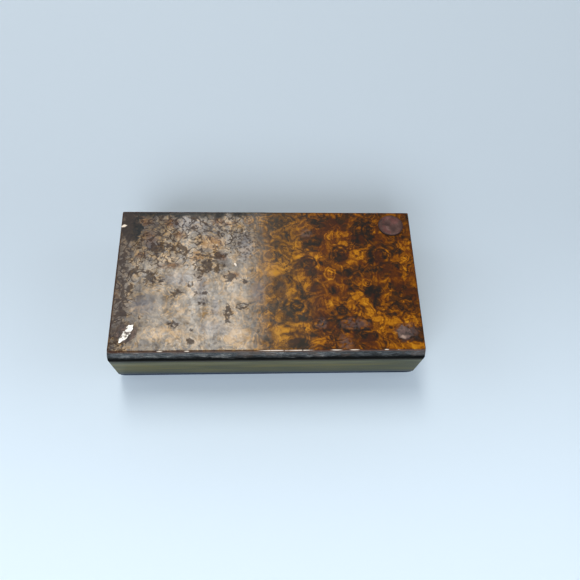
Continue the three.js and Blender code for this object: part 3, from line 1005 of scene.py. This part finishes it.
def make_felts(material):
    soft = 0.2
    low, high, _, half = span("floor_lining")
    walls = [*quarter(soft, high.z), (soft, low.z)]
    flat = (half.x - soft, half.y - soft)
    shape = slab((0, 0), flat, 0.5, high.z, walls, 1.0, nap(0.05, 0.9, 70))
    floor = piece("felt_floor", shape, material, "case", ["floor_lining"])

    low, high, _, half = span("lid_lining")
    walls = [*quarter(soft, -low.z), (soft, -high.z)]
    flat = (half.x - soft, half.y - soft)
    points, faces = slab((0, 0), flat, 0.5, -low.z, walls, 1.0, nap(0.05, 0.9, 71))
    points = [Vector((p.x, -p.y, -p.z)) for p in points]
    lid = piece("felt_lid", (points, faces), material, "lid", ["lid_lining"])

    x, y, foot, top, thick = frame_of("wall_lining_{}")
    corners = [
        (0, foot), (0, top - 0.3), (0.12, top - 0.08), (0.4, top), (thick - 0.12, top - 0.08),
        (thick, top - 0.3), (thick, foot),
    ]
    profile = section(corners, 1.0, (0, 5))
    for side in SIDES:
        shape = mitred_side(side, x, y, 0, profile, 1.0)
        made = piece(f"felt_{side}", shape, material, "case", [f"wall_lining_{side}"])


def make_blocks(material):
    """The felt-covered blocks of the cake's well."""
    for n, place in enumerate(("left", "right", *CORNERS)):
        node = f"well_block_{place}"
        low, high, centre, half = span(node)
        soft = 1.0
        walls = quarter(soft, high.z) + [(soft, high.z - soft - drop) for drop in (1, 2.5, 4.5)]
        walls.append((soft - 0.1, low.z))
        relief = nap(0.06, 0.8, 90 + n)
        shape = slab(centre, (half.x - soft, half.y - soft), 0.4, high.z, walls, 0.9, relief)
        piece(f"felt_block_{place}", shape, material, "case", [node])


def make_cake(cake_look, cork_look):
    low, high, centre, half = span("cake_backing")
    walls = [(0, high.z - 0.4), (0.05, high.z - 0.8), (0, low.z + 0.3), (-0.1, low.z)]
    shape = slab(centre, (half.x - 0.1, half.y - 0.1), 3.9, high.z, walls, 1.5)
    piece("cork_backing", shape, cork_look, "cake", ["cake_backing"])

    low, high, _, half = span("rosin_cake")
    draft, edge = 1.2, 0.9  # how far its sides lean in, and the radius of its upper edge

    def relief(x, y):
        track = math.exp(-(((y + 1.0) / 9.0) ** 4))  # where the bow runs
        worn = -0.9 * track * min(1.0, max(0.0, (half.x - 2 - abs(x)) / 4))
        ridge = 0.12 * ripple(x * 0.12, y * 1.2, 0, 0.5, seed=100)
        edge_away = min(half.x - draft - abs(x), half.y - draft - abs(y))
        chip = max(0, ripple(x, y, 3, 0.28, seed=101) - 0.2) * max(0, 1 - edge_away / 3)
        return worn + ridge * abs(worn) - 1.2 * chip - 0.02

    top_half = (half.x - draft - edge, half.y - draft - edge)
    walls = [(edge * 0.7, high.z - edge * 0.3), (edge, high.z - edge)]
    steps = 8
    fall = high.z - edge - low.z
    walls += [(edge + draft * s / steps, high.z - edge - fall * s / steps) for s in range(1, steps + 1)]
    shape = slab((0, 0), top_half, 2.2, high.z, walls, 0.8, relief)
    piece("amber_cake", shape, cake_look, "cake", ["rosin_cake"])


def make_lid_inside(material):
    low, high, _, half = span("lid_core")
    walls = [(0, high.z - 1), (0, low.z + 0.1), (-0.08, low.z)]
    shape = slab((0, 0), half.xy, 0.3, high.z, walls, 4.0)
    piece("core_board", shape, material, "lid", ["lid_core"])

    x, y, foot, top, thick = frame_of("lid_lip_{}")
    corners = [
        (0, top), (0, foot + 0.5), (0.1, foot + 0.15), (0.3, foot), (thick - 0.2, foot),
        (thick, foot + 0.2), (thick, top),
    ]
    profile = section(corners, 1.0, (0, 5))
    for side in SIDES:
        shape = mitred_side(side, x, y, 0, profile, 2.0)
        piece(f"lip_{side}", shape, material, "lid", [f"lid_lip_{side}"])


make_face(burl())
make_edges(black_lacquer())
make_walls(olive_lacquer())
# the board's navy blue is partly painted: dark wood, with painted shade under the case and a painted reflection of the
# pale cloth
make_board(wood("dark_board", (10, 22, 40), (26, 46, 74), 0.5, 0.1))
make_pins(brass())
leather_look = leather()
make_feet(leather_look)
make_pad(leather_look)
make_residues(residue(), flake())
felt_look = felt()
make_felts(felt_look)
make_blocks(felt_look)
make_cake(rosin(), cork())
make_lid_inside(wood("bare_wood", (150, 112, 70), (206, 172, 122), 0.55, 0.5))


# ======== floor, light and camera


def make_floor():
    mesh = bpy.data.meshes.new("floor")
    reach = 3.0
    corners = [(-reach, -reach, 0), (reach, -reach, 0), (reach, reach, 0), (-reach, reach, 0)]
    mesh.from_pydata(corners, [], [(0, 1, 2, 3)])
    floor = bpy.data.objects.new("floor", mesh)
    bpy.context.scene.collection.objects.link(floor)
    look = Look("pale_floor")
    # painted light: the floor is lighter at the front and darker towards the back, for the light's falloff
    colour = look.mix(look.step(look.y, -130.0, 60.0), srgb(216, 232, 247), srgb(181, 194, 207))
    look.set(Base_Color=colour, Roughness=0.7, Specular_IOR_Level=0.2)
    mesh.materials.append(look.owner)


def panel(name, place, target, size, watts, colour):
    """A soft rectangular light, in metres, that faces its target."""
    light = bpy.data.lights.new(name, "AREA")
    light.shape = "RECTANGLE"
    light.size, light.size_y = size
    light.energy = watts
    light.color = colour
    lamp = bpy.data.objects.new(name, light)
    lamp.location = place
    away = Vector(target) - Vector(place)
    lamp.rotation_euler = away.to_track_quat("-Z", "Y").to_euler()
    bpy.context.scene.collection.objects.link(lamp)


def make_lights():
    # strips of a window overhead, which the left half of the lid mirrors
    height, back, depth = 1.2, 0.62, 0.75
    right, left = 0.015, -0.385
    strengths = (0.5, 0.75, 0.95, 0.9, 0.9, 1.05, 0.95, 1.1, 1.0, 0.95, 0.9, 0.95, 0.9, 0.85, 0.5, 0.2)
    width = (right - left) / len(strengths)
    for n, strength in enumerate(strengths):
        x = left + (n + 0.5) * width
        watts = 12 * strength * width * depth * math.pi
        panel(f"window_{n}", (x, back, height), (x, back, 0), (width, depth), watts, (1.0, 0.955, 0.87))
    # a thin curtain at the window's right
    panel("curtain", (0.08, back, height), (0.08, back, 0), (0.13, depth), 0.17, (1.0, 0.9, 0.7))
    for name, place, size, watts in (
        ("front_softbox", (-0.5, -1.5, 1.2), (1.6, 1.0), 32),
        ("left_softbox", (-1.8, 0.3, 0.9), (1.0, 0.9), 6),
        ("right_softbox", (1.8, 0.1, 0.9), (1.0, 0.9), 5),
    ):
        panel(name, place, (0, 0, 0), size, watts, (0.95, 0.98, 1.0))


def make_world():
    """Pale walls all round up to a dark ceiling."""
    sky = Nodes(bpy.data.worlds.new("studio"), "Background", "OutputWorld")
    up = sky.node("SeparateXYZ", 2, Vector=sky.node("TexCoord", "Generated"))
    sky.set(Color=(0.93, 0.97, 1.0, 1.0), Strength=sky.step(up, 0.74, 0.5) * 0.72 + 0.02)
    bpy.context.scene.world = sky.owner


def make_camera():
    """A camera fitted to the face's corners, the front wall's ends, the seam and the foot line, then moved a little."""
    face_width = 2 * FACE_X * MM
    lens = bpy.data.cameras.new("camera")
    lens.sensor_width = 36
    lens.lens = 34.3
    camera = bpy.data.objects.new("camera", lens)
    front_edge = Vector((0, -FACE_Y * MM, FACE_TOP * MM))
    place = front_edge + Vector((-0.0273, -0.5534, 1.6547)) * face_width
    down, round_, tilt = math.radians(65.09), math.radians(7.44), math.radians(6.58)
    turn = Matrix.Rotation(-round_, 4, "Z") @ Matrix.Rotation(math.pi / 2 - down, 4, "X")
    camera.matrix_world = Matrix.Translation(place) @ turn @ Matrix.Rotation(tilt, 4, "Z")
    lens.clip_start, lens.clip_end = 0.01, 50
    bpy.context.scene.collection.objects.link(camera)
    bpy.context.scene.camera = camera


make_floor()
make_lights()
make_world()
make_camera()
bpy.context.scene.view_settings.view_transform = "Standard"
